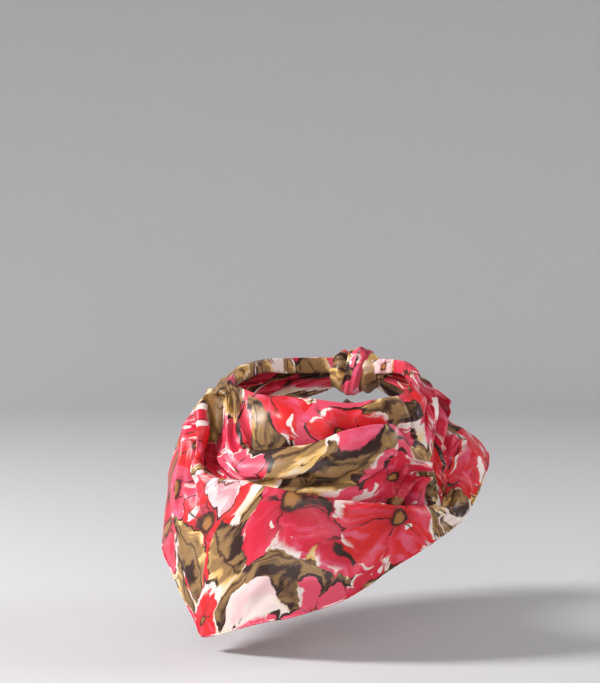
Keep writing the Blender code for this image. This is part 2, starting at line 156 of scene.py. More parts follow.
def fold_line(table, stations):
    """Places along one fold line: angle, radius and height turned into X, Y and Z."""
    rows = table_curve(table, stations)
    angle, radius, height = np.radians(rows[:, 0]), rows[:, 1] * MM, rows[:, 2] * MM
    return np.stack([radius * np.sin(angle), -radius * np.cos(angle), height], axis=-1)


def outward(points):
    """Level unit vectors that point away from the neck's axis."""
    level = points * np.array([1.0, 1.0, 0.0])
    return level / np.linalg.norm(level, axis=-1, keepdims=True)


def length(vectors):
    """Lengths of vectors, on an axis of their own."""
    return np.linalg.norm(vectors, axis=-1, keepdims=True)


def section_points(stations):
    """The thirteen section lines, and beside each folded line a point on both sides, as far off
    as the fold's radius, that rounds it. Also the place of each line among these points."""
    lines = {line: fold_line(table, stations) for line, table in (
        (NECK, NECKLINE), (ROLL_TOP, ROLL), (VALLEY, ROLL_VALLEY), (CREST, COWL_CREST),
        (LIP, COWL_LIP), (POCKET, BIB_VALLEY), (RIM, BIB_CREST), (CHEST, BELLY), (EDGE, HEM))}
    tuck, strip = np.split(table_curve(COWL_LIP, stations)[:, 3:] * MM, 2, axis=1)
    lines[FACE] = (lines[CREST] + lines[LIP]) / 2
    lines[FACE] += outward(lines[FACE]) * FACE_BULGE * length(lines[CREST] - lines[LIP])
    lines[TUCK] = (1 - TUCK_SHARE) * lines[LIP] + TUCK_SHARE * lines[POCKET]
    lines[TUCK] -= outward(lines[TUCK]) * tuck
    lines[STRIP] = (1 - STRIP_SHARE) * lines[LIP] + STRIP_SHARE * lines[POCKET]
    lines[STRIP] += outward(lines[STRIP]) * strip
    lines[SKIRT] = (lines[CHEST] + lines[EDGE]) / 2
    lines[SKIRT] += outward(lines[SKIRT]) * SKIRT_BULGE * length(lines[CHEST] - lines[EDGE])

    points, places = [], []
    for line in range(NECK, EDGE + 1):
        if line in FOLDED_LINES:
            up, down = lines[line - 1] - lines[line], lines[line + 1] - lines[line]
            size = np.minimum(CREST_ROUND, LONGEST_ROUND * np.minimum(length(up), length(down)))
            up, down = up / length(up), down / length(down)
            across = (down - up) / length(down - up)
            points.append(lines[line] + size * (0.5 * (up + down) - across))
            places.append(len(points))
            points.append(lines[line])
            points.append(lines[line] + size * (0.5 * (up + down) + across))
        else:
            places.append(len(points))
            points.append(lines[line])
    return np.stack(points, axis=1), np.array(places)


def even_steps(counts):
    """0, 1, 2, ... with each interval cut into as many steps as its count says."""
    return np.concatenate([[0.0]] + [n + np.arange(1, k + 1) / k for n, k in enumerate(counts)])


def plain_cloth(stations, lines):
    """Grid of places on the cloth: smooth sections, whose knots lie the square root of the
    distance apart, from the neckline to the hem."""
    points, places = section_points(stations)
    knots = np.cumsum(np.sqrt(length(np.diff(points, axis=1))[..., 0]) + 1e-6, axis=1)
    knots = np.concatenate([np.zeros((len(knots), 1)), knots], axis=1)
    at = np.interp(lines, range(len(places)), places)
    i = np.minimum(at.astype(int), points.shape[1] - 2)
    return curve_through(knots, points, i, at - i)


def run_lengths(grid, axis):
    """Distance along one direction of a grid, from its first row or column."""
    steps = np.linalg.norm(np.diff(grid, axis=axis), axis=-1)
    start = np.zeros_like(np.take(steps, [0], axis=axis))
    return np.concatenate([start, np.cumsum(steps, axis=axis)], axis=axis)


def grid_normals(grid):
    """Unit normals of a grid, out of the cloth's right side."""
    normals = np.cross(np.gradient(grid, axis=1), np.gradient(grid, axis=0))
    return normals / length(normals)


MIDDLE_STATION = 7.0
RIM_ROWS_POWER = 0.6            # under 1 draws the rows just below the rim down from it

stations = even_steps(COLUMNS_AFTER_STATION)
lines = even_steps(ROWS_AFTER_LINE)
below_rim = (lines > RIM) & (lines < CHEST)
lines[below_rim] = RIM + (lines[below_rim] - RIM) ** RIM_ROWS_POWER
cloth = plain_cloth(stations, lines)

# Places on the cloth laid flat, in metres: across from the middle of the front, and down from the
# neck
cloth_across = run_lengths(cloth, 0)
cloth_across -= cloth_across[np.argmin(abs(stations - MIDDLE_STATION))]
cloth_down = run_lengths(cloth, 1)
plain_flat = np.stack([cloth_across, cloth_down], axis=-1)

# Creases. Each has the places of its line (station, section line), its heights in mm evenly spread
# along the line, and its half widths in mm on its left and on its right, one or some spread
# likewise. Seen from outside, a line that runs towards the wearer's left has the neck on its left
# and the hem on its right. A fifth value is how far (mm) the crest lies over to the right, as a
# lapped fold does.
RIGHT_SIDE_CREASES = [
    # the pipe fold that comes over the right shoulder, and the deep trough outside it
    (((4.3, 8.9), (4.75, 8.8), (5.15, 8.85), (5.45, 9.2), (5.75, 9.65), (6.2, 10.0)),
     (2.0, 3.8, 3.8, 3.2, 2.6, 1.0), 4.5, (3.0, 3.5), 1.5),
    (((4.4, 8.75), (4.8, 8.65), (5.3, 8.6)), (3.0, 4.5, 2.0), 4.0, 6.0),
    (((3.9, 9.6), (4.6, 9.57), (5.1, 9.57), (5.45, 9.7), (5.75, 10.0)),
     (-3.0, -9.5, -9.5, -5.5, -1.0), 3.4, (4.2, 6.0)),
    (((3.8, 9.7), (4.4, 9.71), (4.95, 9.75), (5.35, 10.1)), (1.0, 5.0, 5.0, 1.0), 4.2, 8.0),
    (((3.7, 10.6), (4.4, 10.9), (4.9, 11.4)), (-1.0, -3.0, -1.5), 6.0, 7.0),
    # the hollow beside the roll, closed at its top, with small folds in its depth
    (((3.4, 8.0), (3.85, 8.1), (4.3, 8.2)), (6.0, 12.0, 4.0), 10.0, 7.0),
    (((3.4, 5.5), (3.8, 5.8), (4.15, 6.2)), (4.0, 8.0, 1.0), 5.0, 7.0),
    (((4.75, 7.4), (5.1, 7.2), (5.45, 7.2)), (1.0, 3.5, 2.0), 2.5, 3.0),
    # the roll laps over the hollow with a crisp edge
    (((4.2, 1.6), (4.7, 1.5), (5.1, 1.6), (5.5, 1.8)), (1.5, 4.5, 4.5, 1.5), 6.0, 6.0),
    (((4.2, 3.6), (4.6, 3.8), (4.95, 4.1), (5.4, 4.6), (6.0, 4.85)),
     (1.5, 2.5, 2.5, 2.0, 1.0), 5.0, 1.2, 2.6),
    # falls over the right shoulder and behind it
    (((3.3, 8.9), (3.1, 10.0), (2.9, 11.4)), (1.0, 3.5, 3.0), (6.0, 9.0), (6.0, 9.0)),
    (((3.0, 9.3), (2.7, 10.4), (2.5, 11.8)), (-1.0, -3.5, -3.0), (5.0, 8.0), (5.0, 8.0)),
    (((2.4, 8.9), (2.1, 10.2), (1.9, 11.8)), (1.0, 3.5, 3.5), (5.0, 9.0), (5.0, 9.0)),
    (((1.4, 8.6), (1.5, 10.0), (1.3, 11.8)), (1.0, 3.0, 3.0), (4.0, 8.0), (4.0, 8.0)),
    (((1.0, 9.0), (1.1, 10.4), (0.9, 11.8)), (-0.5, -2.5, -2.5), (3.0, 7.0), (3.0, 7.0)),
    (((0.3, 9.3), (1.0, 9.6), (2.0, 9.9), (3.2, 10.2)), (1.0, 2.5, 2.5, 1.0), 4.0, 7.0),
    (((0.3, 8.4), (1.2, 8.5), (2.4, 8.4), (3.4, 8.5)), (1.0, 2.0, 2.0, 1.0), 3.0, 4.0),
]
FRONT_CREASES = [
    # soft falls in the roll
    (((7.35, 0.25), (7.5, 0.9), (7.3, 1.7)), (0.8, 2.4, 1.5), 8.0, 9.0),
    (((8.0, 0.2), (8.1, 0.9), (7.9, 1.8)), (-0.5, -2.0, -1.5), 8.0, 7.0),
    (((6.0, 0.3), (6.3, 1.0), (6.5, 1.8)), (0.5, 2.2, 1.2), 11.0, 8.0),
    (((5.2, 0.5), (5.9, 1.1), (6.8, 1.45)), (-0.5, -1.8, -0.8), 7.0, 8.0),
    (((8.5, 0.8), (9.2, 1.25), (9.9, 1.35)), (-0.5, -2.4, -1.0), 4.0, 5.0),
    (((8.6, 0.15), (9.6, 0.35), (10.4, 0.9)), (0.5, 2.2, 1.0), 6.0, 9.0),
    # the cowl's crest and the long folds of its face
    (((6.7, 3.0), (7.6, 3.0), (8.6, 3.0), (9.35, 3.0)), (0.3, 1.2, 1.4, 0.8), 2.2, 1.6),
    (((6.3, 3.5), (7.2, 3.8), (8.2, 4.2), (9.3, 4.0)), (-0.5, -1.8, -1.6, -0.5), 4.0, 5.0),
    (((9.3, 3.3), (8.9, 4.4), (8.4, 5.4), (8.1, 6.8)), (0.5, 2.4, 2.6, 2.0), (3.0, 4.0), 5.0),
    (((9.0, 3.6), (8.2, 4.8), (7.5, 6.0), (7.1, 7.0)), (-0.5, -2.0, -2.2, -1.0), 4.0, 5.0),
    # below the lip the cloth is folded back once more, in a narrow strip
    (((6.0, 6.5), (6.4, 6.35), (6.9, 6.1), (7.15, 5.6)), (2.0, 7.0, 8.0, 3.0), 1.8, 3.4, -1.5),
    (((5.8, 5.6), (6.4, 5.5), (7.0, 5.35)), (-1.0, -3.0, -2.0), 2.0, 2.0),
    (((7.15, 5.2), (7.6, 5.5), (8.0, 6.2)), (2.0, 3.5, 1.0), 5.0, 6.0),
    # the pinch, drawn in
    (((10.4, 3.5), (10.9, 4.3), (11.3, 5.2)), (-0.5, -1.5, -0.5), 6.0, 6.0),
    # the cloth bulges up to the bib's top edge
    (((9.8, 7.5), (10.5, 7.6), (11.2, 7.8)), (1.0, 5.0, 6.0, 1.0), 9.0, 7.0),
    # the bib's top edge
    (((6.0, 9.0), (7.2, 9.0), (8.6, 9.0), (9.9, 9.0), (11.0, 9.0)),
     (0.6, 1.2, 1.2, 1.2, 0.6), 1.4, 2.4),
    # soft waves of the bib
    (((5.7, 9.9), (6.5, 10.7), (7.8, 11.2), (9.2, 11.2)), (0.8, 2.0, 1.8, 0.5), 9.0, 12.0),
    (((6.1, 9.6), (7.0, 10.2), (8.3, 10.5), (9.8, 10.3)), (-0.8, -1.8, -1.8, -0.8), 8.0, 9.0),
    (((6.3, 9.5), (6.5, 10.0), (6.4, 10.8), (6.1, 11.4)), (0.4, 1.5, 1.6, 0.6), 8.0, 8.0),
    (((6.15, 9.7), (6.2, 10.3), (6.05, 11.2)), (-0.5, -1.8, -1.2), 4.0, 6.0),
    (((10.7, 9.4), (9.8, 9.8), (8.8, 10.4), (7.6, 11.4)),
     (1.2, 2.2, 2.0, 0.8), (6.0, 10.0), (8.0, 11.0)),
    (((10.9, 9.6), (10.2, 10.4), (9.4, 11.2), (8.6, 11.9)),
     (-1.0, -2.0, -2.0, -1.0), (5.0, 8.0), (6.0, 8.0)),
    (((5.3, 9.9), (5.35, 10.6), (5.45, 11.3)), (1.0, 2.2, 1.2), 6.0, 5.0),
    (((5.55, 10.3), (5.6, 10.9), (5.7, 11.6)), (-0.8, -2.0, -1.2), 5.0, 5.0),
]
LEFT_SIDE_CREASES = [
    # two straps of the gathered band, one over the other, and deep gaps beside the first
    (((10.45, 0.2), (10.5, 0.9), (10.5, 1.25), (10.4, 1.9)), (-2.0, -5.5, -6.5, -5.0), 3.0, 2.2),
    (((10.2, 0.5), (10.2, 1.1), (10.1, 1.6)), (1.5, 2.5, 1.5), 5.0, 4.0),
    (((11.2, 0.2), (11.4, 0.8), (11.65, 1.9), (11.4, 2.45), (10.95, 2.6)),
     (1.0, 2.5, 3.6, 3.4, 1.5), 1.3, (6.0, 5.0), -3.0),
    (((11.6, 0.5), (11.9, 2.0), (11.75, 3.0), (11.4, 3.0)), (-1.0, -3.5, -3.5, -2.0), 3.0, 1.8),
    (((12.2, 2.7), (12.45, 6.2), (12.2, 7.0), (11.85, 7.0), (11.6, 6.5)),
     (0.5, 2.5, 3.2, 3.2, 1.5), 1.4, 5.0, -2.8),
    (((12.5, 7.6), (12.25, 7.9), (11.9, 7.8), (11.6, 7.2)), (-1.5, -3.5, -3.5, -1.5), 2.0, 3.0),
    (((12.9, 3.0), (12.3, 3.4), (11.9, 4.2), (11.5, 4.6)), (0.5, 2.0, 2.0, 1.0), 2.5, 2.5),
    # falls over the left shoulder and behind it
    (((12.3, 8.6), (12.5, 9.8), (12.55, 11.6)), (1.0, 3.0, 3.5), (4.0, 8.0), (4.0, 8.0)),
    (((12.6, 8.8), (12.75, 10.2), (12.85, 11.8)), (-1.0, -3.0, -3.5), (4.0, 8.0), (4.0, 8.0)),
    (((12.95, 8.8), (13.1, 10.2), (13.15, 11.8)), (1.0, 3.0, 3.0), (4.0, 8.0), (4.0, 8.0)),
    (((13.7, 9.3), (13.2, 9.6), (12.6, 9.8)), (1.0, 2.5, 1.0), 4.0, 7.0),
    (((13.7, 8.4), (13.1, 8.4), (12.5, 8.3)), (1.0, 2.0, 1.0), 3.0, 4.0),
]


def read_along(values, share):
    """A row of values spread evenly along a crease, read at the share of the way."""
    return np.interp(share, np.linspace(0, 1, len(values)), values)


# The fan of pleats below the left ear: a front set that runs down to the bib's top edge and a
# shoulder set that goes round over the left shoulder. A form has the heights of a crease, its half
# widths on the left and on the right, and its lap, all in mm. Places are stations and lines.
FRONT_PLEATS, SHOULDER_PLEATS = 12, 9
FRONT_PLEAT = ((0.6, 2.2, 4.6, 5.2, 3.0), (0.9, 1.7, 2.6), (0.7, 1.0, 1.3), 1.0)
SHOULDER_PLEAT = ((0.6, 2.2, 3.8, 3.4, 1.0), (0.9, 2.4, 3.8), (0.7, 1.4, 2.2), 1.2)
FRONT_STARTS, FRONT_ENDS = (10.05, 10.95), (8.3, 11.1)  # stations of the first and last pleat
FRONT_BEND_LINE = 6.5
FAN_MIDDLE = 10.875                 # the station that the bends are drawn to
SHOULDER_STARTS = (10.9, 11.65)     # stations
SHOULDER_BENDS = np.array([(11.15, 7.3), (11.85, 7.7)])
SHOULDER_ENDS = [(11.05, 8.9), (11.0, 9.9), (11.2, 11.3), (11.6, 11.7), (11.9, 10.7), (12.05, 9.7),
                 (12.15, 8.8)]


def between(ends, share):
    """The value at the share of the way from the first end to the second."""
    return ends[0] + (ends[1] - ends[0]) * share


def pleat(path, form, high, wide):
    """A crease of the form, with its heights and lap times one share, and its half widths times
    another except at the pinch."""
    heights, left, right, lap = form
    left, right = ((first, *(width * wide for width in rest)) for first, *rest in (left, right))
    return path, tuple(height * high for height in heights), left, right, lap * high


def fan_creases():
    """Pleats that spread from the pinch in two sets. They are narrow at the pinch and widen, and no
    two are alike."""
    uneven = np.random.default_rng(11)
    pleats = []
    for share in np.linspace(0, 1, FRONT_PLEATS) + uneven.uniform(-0.035, 0.035, FRONT_PLEATS):
        end = (between(FRONT_ENDS, share), uneven.uniform(7.2, 8.3))
        start = (between(FRONT_STARTS, share), uneven.uniform(5.2, 6.0))
        bend = (0.6 * end[0] + 0.4 * FAN_MIDDLE, FRONT_BEND_LINE)
        high, wide = uneven.uniform(0.65, 1.35), uneven.uniform(0.8, 1.3)
        pleats.append(pleat((start, bend, end), FRONT_PLEAT, high, wide))
    for share in np.linspace(0, 1, SHOULDER_PLEATS) + uneven.uniform(-0.05, 0.05, SHOULDER_PLEATS):
        share = min(max(share, 0), 1)
        start = (between(SHOULDER_STARTS, share), uneven.uniform(5.5, 6.6))
        bend = between(SHOULDER_BENDS, share)
        end = np.array([read_along(column, share) for column in zip(*SHOULDER_ENDS)])
        middle = bend * (0.5, 0.4) + end * (0.5, 0.6) + (0.12, 0)
        stop = between((middle, end), uneven.uniform(0.55, 1.0))
        high, wide = uneven.uniform(0.5, 1.35), uneven.uniform(0.8, 1.4)
        pleats.append(pleat((start, bend, middle, stop), SHOULDER_PLEAT, high, wide))
    return pleats


GATHERED_LINES = np.arange(1.2, 11.6, 0.8)


def gathers():
    """Pleats of the two bands where they run into the knot, deepest beside it."""
    uneven = np.random.default_rng(3)
    pleats = []
    for line in GATHERED_LINES:
        for knot, way in ((stations[0], 1), (stations[-1], -1)):
            reach, drift = uneven.uniform(0.9, 1.6), uneven.uniform(-0.2, 0.3)
            path = [(knot + way * share * reach, line + share * drift) for share in (0, 0.5, 1)]
            high = uneven.uniform(0.9, 1.5)
            pleats.append((path, (1.6 * high, 1.4 * high, 0.0), (0.9, 3.0), (0.9, 3.0)))
    return pleats


def soft_end(t):
    """Rises smoothly from 0 to 1 over the first eighth of the way and falls over the last."""
    near = np.clip(np.minimum(t, 1 - t) * 8, 0, 1)
    return near * near * (3 - 2 * near)


def on_flat(station, line):
    """Where a station and a line lie on the cloth laid flat, between the places of the grid."""
    column = np.interp(station, stations, np.arange(len(stations)))
    row = np.interp(line, lines, np.arange(len(lines)))
    i, j = min(int(column), len(stations) - 2), min(int(row), len(lines) - 2)
    s, t = column - i, row - j
    flat = plain_flat[i:i + 2, j:j + 2]
    return ((1 - s) * (1 - t) * flat[0, 0] + s * (1 - t) * flat[1, 0]
            + (1 - s) * t * flat[0, 1] + s * t * flat[1, 1])


CREASE_STEPS = 24
CREASE_REACH = 3.0              # a crease is followed this many half widths to each side


def crease_shift(creases):
    """How far all creases move the plain cloth. Along each one stands a bell curve of the distance
    from its line that fades at both ends. It lifts the cloth off its right side and, where the
    crease is lapped, draws it over to the right."""
    shift = np.zeros_like(cloth)
    normals = grid_normals(cloth)
    to_left, to_hem = np.gradient(cloth, axis=0), np.gradient(cloth, axis=1)
    to_left, to_hem = to_left / length(to_left), to_hem / length(to_hem)
    for path, heights, left, right, *lap in creases:
        left, right = np.atleast_1d(left), np.atleast_1d(right)
        knots = np.arange(len(path), dtype=float)
        share = np.linspace(0, 1, CREASE_STEPS + 1)
        i = np.minimum((share * knots[-1]).astype(int), len(path) - 2)
        places = np.array([on_flat(*place) for place in path])
        line = curve_through(knots, places, i, share * knots[-1] - i)
        reach = CREASE_REACH * max(*left, *right) * MM
        low, high = line.min(axis=0) - reach, line.max(axis=0) + reach
        near = np.all((plain_flat > low) & (plain_flat < high), axis=-1)
        offset, piece = plain_flat[near][:, None] - line[:-1], np.diff(line, axis=0)
        at = np.clip(np.sum(offset * piece, axis=-1) / np.sum(piece * piece, axis=-1), 0, 1)
        away = np.linalg.norm(offset - at[..., None] * piece, axis=-1)
        pick = np.argmin(away, axis=1)
        rows = np.arange(len(pick))
        side = (piece[:, 0] * offset[..., 1] - piece[:, 1] * offset[..., 0])[rows, pick]
        share = (pick + at[rows, pick]) / CREASE_STEPS
        width = np.where(side < 0, read_along(left, share), read_along(right, share)) * MM
        bell = soft_end(share) * np.exp(-(away[rows, pick] / width) ** 2)
        shift[near] += normals[near] * (read_along(heights, share) * bell)[:, None] * MM
        if lap:
            way = (piece / length(piece))[pick]
            over = to_hem[near] * way[:, :1] - to_left[near] * way[:, 1:]
            shift[near] += over * (lap[0] * bell)[:, None] * MM
    return shift


RIPPLE_HEIGHT = 0.17 * MM
RIPPLE_WAVES = 14
SHORTEST_RIPPLE, LONGEST_RIPPLE = 14 * MM, 60 * MM
SLOW_SWELL = (31, 23)           # radians a metre across and down


def ripples():
    """Slight unevenness of limp silk: plane waves in all directions on the cloth laid flat, each
    the sine of its own phase, that swell and fade with two slower waves."""
    uneven = np.random.default_rng(21)
    height = np.zeros_like(cloth_down)
    slow = plain_flat @ SLOW_SWELL
    spread = LONGEST_RIPPLE / SHORTEST_RIPPLE
    for wave in SHORTEST_RIPPLE * spread ** np.linspace(0, 1, RIPPLE_WAVES):
        turn, phase = uneven.uniform(0, 2 * math.pi, 2)
        run = (cloth_across * math.cos(turn) + cloth_down * math.sin(turn)) / wave
        swell = np.sin(7 / 9 * run + phase) * np.sin(slow + 3 * phase)
        size = (2 * wave / LONGEST_RIPPLE) ** 0.8
        height += size * np.sin(2 * math.pi * run + phase) * (0.4 + swell)
    return RIPPLE_HEIGHT * height


creases = RIGHT_SIDE_CREASES + FRONT_CREASES + LEFT_SIDE_CREASES + fan_creases() + gathers()
creased = cloth + crease_shift(creases) + grid_normals(cloth) * ripples()[..., None]

RETURN_DEPTH = 12 * MM
RETURN_INSET = 1.6 * MM
RETURN_LEAVE, RETURN_ARRIVE = 5 * MM, 18 * MM   # strength of the curve's slope at its two ends
RETURN_UNEVEN, RETURN_WAVES = 0.10, 2.3         # share of the depth, and radians a station
RETURN_SHARES = np.linspace(1, 0, 12, endpoint=False) ** 1.5


def return_inside(grid):
    """The cloth turned down inside the neck: a cubic curve that leaves the top edge along the
    cloth's own slope and ends straight down, a little nearer the neck. The lowest row is first."""
    edge = grid[:, :1]
    leave = (edge - grid[:, 1:2]) / length(edge - grid[:, 1:2]) * RETURN_LEAVE
    down = np.array([0.0, 0.0, -1.0])
    depth = RETURN_DEPTH * (1 + RETURN_UNEVEN * np.sin(RETURN_WAVES * stations)[:, None, None])
    end = edge - outward(edge) * RETURN_INSET + down * depth
    return cubic(RETURN_SHARES[None, :, None], edge, leave, end, down * RETURN_ARRIVE)


def new_object(name, data):
    """An object that shows a mesh, a lamp or a camera, in the scene."""
    added = bpy.data.objects.new(name, data)
    bpy.context.scene.collection.objects.link(added)
    return added


def smooth_mesh(name, points, faces, uvs=None):
    """A smooth object of faces between points, with the corners' places on the flat cloth."""
    mesh = bpy.data.meshes.new(name)
    mesh.from_pydata(points.reshape(-1, 3).tolist(), [], faces)
    if uvs is not None:
        mesh.uv_layers.new(name="cloth").data.foreach_set("uv", uvs.ravel())
    mesh.shade_smooth()
    return new_object(name, mesh)


def cloth_object(name, grid, flat, thickness):
    """A sheet of quads over a grid, with its places on the flat cloth as UVs and a thin wall."""
    columns, rows = grid.shape[:2]
    i, j = np.meshgrid(np.arange(columns - 1), np.arange(rows - 1), indexing="ij")
    first = (i * rows + j).ravel()
    faces = np.stack([first, first + 1, first + rows + 1, first + rows], axis=-1)
    piece = smooth_mesh(name, grid, faces.tolist(), flat.reshape(-1, 2)[faces])
    wall = piece.modifiers.new("wall", "SOLIDIFY")
    wall.thickness = thickness
    wall.offset = 0.0
    return piece


PRINT_REACH = 28 * MM           # over how far the print's places are evened
PINCH = (10.9, 4.8)             # station and section line
PINCH_HALF_WIDTH = 9 * MM
PINCH_SPREAD = 0.30             # growth of that width for each metre below the pinch
SPREAD_DEPTH = 70 * MM          # as far down as this
PINCH_FADES = 75 * MM           # above and below the pinch
GATHERED_WIDTH = 38 * MM        # of print drawn in on each side


def evened(places, along):
    """Places averaged along each row of the grid, with bell-shaped weights of the distance along
    it, so that the print isn't torn where the lengths of neighbouring rows differ."""
    even = np.empty_like(places)
    for row, run in enumerate(along):
        weights = np.exp(-((run[:, None] - run) / PRINT_REACH) ** 2) * (np.gradient(run) + 1e-6)
        even[row] = weights @ places[row] / weights.sum(axis=1)
    return even


# The print's places. At the pinch the cloth is gathered, so more of its width lies there.
even_across, even_down = evened(cloth_across, cloth_down), evened(cloth_down.T, cloth_across.T).T
flat_cloth = np.stack([even_across, even_down], axis=-1)
away = flat_cloth - on_flat(*PINCH)
pinch_width = PINCH_HALF_WIDTH + PINCH_SPREAD * np.clip(away[..., 1], 0, SPREAD_DEPTH)
gathered = np.tanh(away[..., 0] / pinch_width) * np.exp(-(away[..., 1] / PINCH_FADES) ** 2)
flat_cloth[..., 0] += GATHERED_WIDTH * gathered

seam = np.argmin(abs(lines - POCKET))
turned_in = np.concatenate([return_inside(creased), creased[:, :seam + 1]], axis=1)
return_flat = flat_cloth[:, :1] - RETURN_SHARES[:, None] * (0, RETURN_DEPTH)
turned_in_flat = np.concatenate([return_flat, flat_cloth[:, :seam + 1]], axis=1)
cowl = cloth_object("cowl_cloth", turned_in, turned_in_flat, SILK_THICKNESS)
bib = cloth_object("bib_cloth", creased[:, seam:], flat_cloth[:, seam:], SILK_THICKNESS)

# The print: a loose painted pattern of large ragged flowers and brushed leaves on a cream ground.
# Its inks, as linear colours
CRIMSON, SCARLET, ROSE = (0.60, 0.016, 0.044, 1), (0.66, 0.018, 0.020, 1), (0.72, 0.072, 0.13, 1)
PINK, PALE_PINK, CREAM = (0.74, 0.20, 0.36, 1), (0.80, 0.54, 0.54, 1), (0.78, 0.61, 0.42, 1)
WHITE, GOLD, OCHRE = (0.79, 0.67, 0.62, 1), (0.73, 0.44, 0.14, 1), (0.42, 0.18, 0.050, 1)
OLIVE, UMBER, MAUVE = (0.29, 0.162, 0.064, 1), (0.036, 0.013, 0.010, 1), (0.32, 0.22, 0.25, 1)
DEEP_CRIMSON = (0.30, 0.012, 0.02, 1)
FULL_TURN = 6.28                # radians


def add_node(tree, kind, inputs=(), **settings):
    """One shader node. An input that is another node's output is linked, and a value is set."""
    node = tree.nodes.new(kind)
    for name, value in settings.items():
        setattr(node, name, value)
    for key, value in dict(inputs).items():
        if isinstance(value, bpy.types.NodeSocket):
            tree.links.new(value, node.inputs[key])
        else:
            node.inputs[key].default_value = value
    return node


def calc(tree, operation, *values):
    """The result of a maths node."""
    return add_node(tree, "ShaderNodeMath", enumerate(values), operation=operation).outputs[0]


def step(tree, value, low, high):
    """Rises smoothly from 0 at low to 1 at high; with high below low it falls."""
    inputs = {"Value": value, "From Min": min(low, high), "From Max": max(low, high),
              "To Min": float(low > high), "To Max": float(low < high)}
    return add_node(tree, "ShaderNodeMapRange", inputs, interpolation_type="SMOOTHSTEP").outputs[0]


def times(tree, first, second):
    """The product of two values."""
    return calc(tree, "MULTIPLY", first, second)


def painted(tree, colour, ink, *masks):
    """The colour with an ink laid on it, as far as the product of the masks says."""
    factor = masks[0]
    for mask in masks[1:]:
        factor = times(tree, factor, mask)
    inputs = {0: factor, 6: colour, 7: ink}
    return add_node(tree, "ShaderNodeMix", inputs, data_type="RGBA").outputs[2]


def noise(tree, place, grain, detail=2.0, output="Fac", **inputs):
    """Noise whose patches are about as wide as the grain, in metres."""
    settings = {"Vector": place, "Scale": 1 / grain, "Detail": detail, **inputs}
    return add_node(tree, "ShaderNodeTexNoise", settings, noise_dimensions="2D").outputs[output]


def vector(tree, operation, first, second, slot=1):
    """The result of a vector maths node, whose second value goes into the slot."""
    inputs = {0: first, slot: second}
    return add_node(tree, "ShaderNodeVectorMath", inputs, operation=operation).outputs[0]


def moved(tree, place, direction, reach):
    """A place shifted by a noise colour, as far as the reach to each side."""
    centred = vector(tree, "SUBTRACT", direction, (0.5, 0.5, 0.5))
    return vector(tree, "ADD", place, vector(tree, "SCALE", centred, 2 * reach, "Scale"))


def new_group(name, inputs):
    """An empty node group with named sockets that puts out a colour, and its inputs in order."""
    group = bpy.data.node_groups.new(name, "ShaderNodeTree")
    for socket, kind in inputs.items():
        group.interface.new_socket(socket, in_out="INPUT", socket_type="NodeSocket" + kind)
    group.interface.new_socket("Color", in_out="OUTPUT", socket_type="NodeSocketColor")
    given = group.nodes.new("NodeGroupInput")
    return group, [given.outputs[socket] for socket in inputs], group.nodes.new("NodeGroupOutput")


def scattered(tree, place, spacing, shift):
    """One motif's place in each cell of a loose scatter: the distance from its middle in cells,
    as X and Y, and three random numbers of its own."""
    moved_place = vector(tree, "ADD", place, shift)
    scale = calc(tree, "DIVIDE", 1.0, spacing)
    inputs = {"Vector": moved_place, "Scale": scale, "Randomness": 0.75}
    cells = add_node(tree, "ShaderNodeTexVoronoi", inputs, voronoi_dimensions="2D")
    local = vector(tree, "SUBTRACT", moved_place, cells.outputs["Position"])
    local = vector(tree, "SCALE", local, scale, "Scale")
    local = add_node(tree, "ShaderNodeSeparateXYZ", {0: local})
    own = add_node(tree, "ShaderNodeSeparateColor", {0: cells.outputs["Color"]})
    return *local.outputs[:2], *own.outputs[:3]


